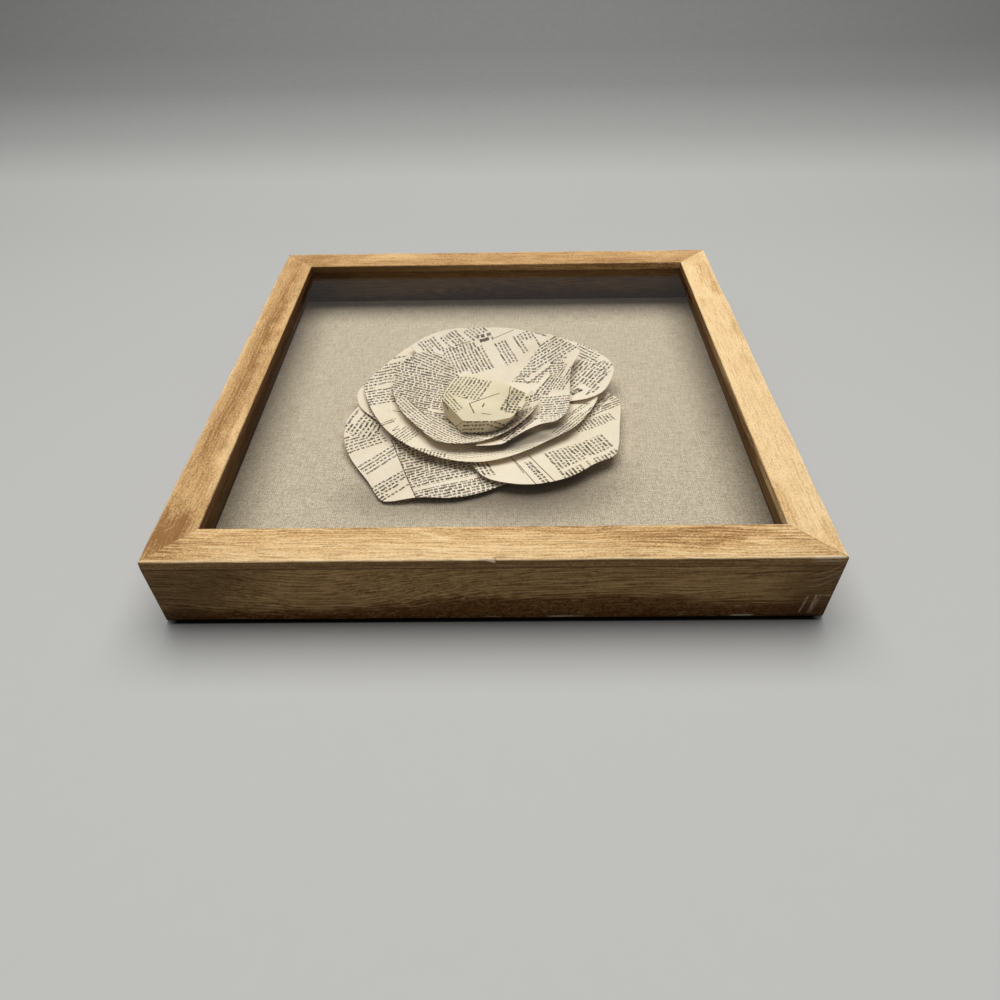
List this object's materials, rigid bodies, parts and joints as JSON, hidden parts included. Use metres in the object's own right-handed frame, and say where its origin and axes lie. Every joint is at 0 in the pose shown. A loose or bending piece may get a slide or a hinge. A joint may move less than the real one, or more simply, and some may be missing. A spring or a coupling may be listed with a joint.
{
  "type": "framed newspaper origami art",
  "caption": "Square wooden shadow box holding a layered flower of printed paper on a linen-covered panel behind glass, to hang on a wall or lie on its back.",
  "frame": {"origin": "middle of the back, on the plane that the box rests on when it lies on its back", "axes": "+X across the picture to the right, +Y up the picture towards its upper rail, +Z from the back out through the glass"},
  "size_m": [0.3, 0.3, 0.04],
  "materials": {
    "face_wood": "honey stain, rubbed, matt",
    "board_wood": "darker stain, matt",
    "glass": "clear float glass",
    "hardboard": "raw hardboard",
    "linen": "plain weave, undyed",
    "steel": "zinc plated",
    "wood_filler": "stained wood filler",
    "card": "plain card",
    "foam": "adhesive foam",
    "printed_paper": "uncoated newsprint with rows of dark dashes",
    "bud_paper": "uncoated newsprint, yellowed"
  },
  "bodies": {
    "root": {"face_strip_front": "face_wood", "face_strip_right": "face_wood", "face_strip_back": "face_wood", "face_strip_left": "face_wood", "side_board_front": "board_wood", "side_board_right": "board_wood", "side_board_back": "board_wood", "side_board_left": "board_wood", "glass_pane": "glass", "backing_panel": "hardboard", "linen_cloth": "linen", "framing_points": "steel", "corner_staples": "steel", "staple_filler": "wood_filler", "sawtooth_hanger": "steel", "hanger_rivets": "steel", "card_disc": "card", "foam_pad_lower": "foam", "foam_pad_upper": "foam", "lower_petal_front_left": "printed_paper", "lower_petal_front_right": "printed_paper", "lower_petal_right": "printed_paper", "lower_petal_back": "printed_paper", "lower_petal_left": "printed_paper", "middle_petal_front": "printed_paper", "middle_petal_right": "printed_paper", "middle_petal_left": "printed_paper", "inner_petal_left": "printed_paper", "inner_petal_right": "printed_paper", "inner_petal_back": "printed_paper", "folded_bud": "bud_paper"}
  },
  "joints": []
}
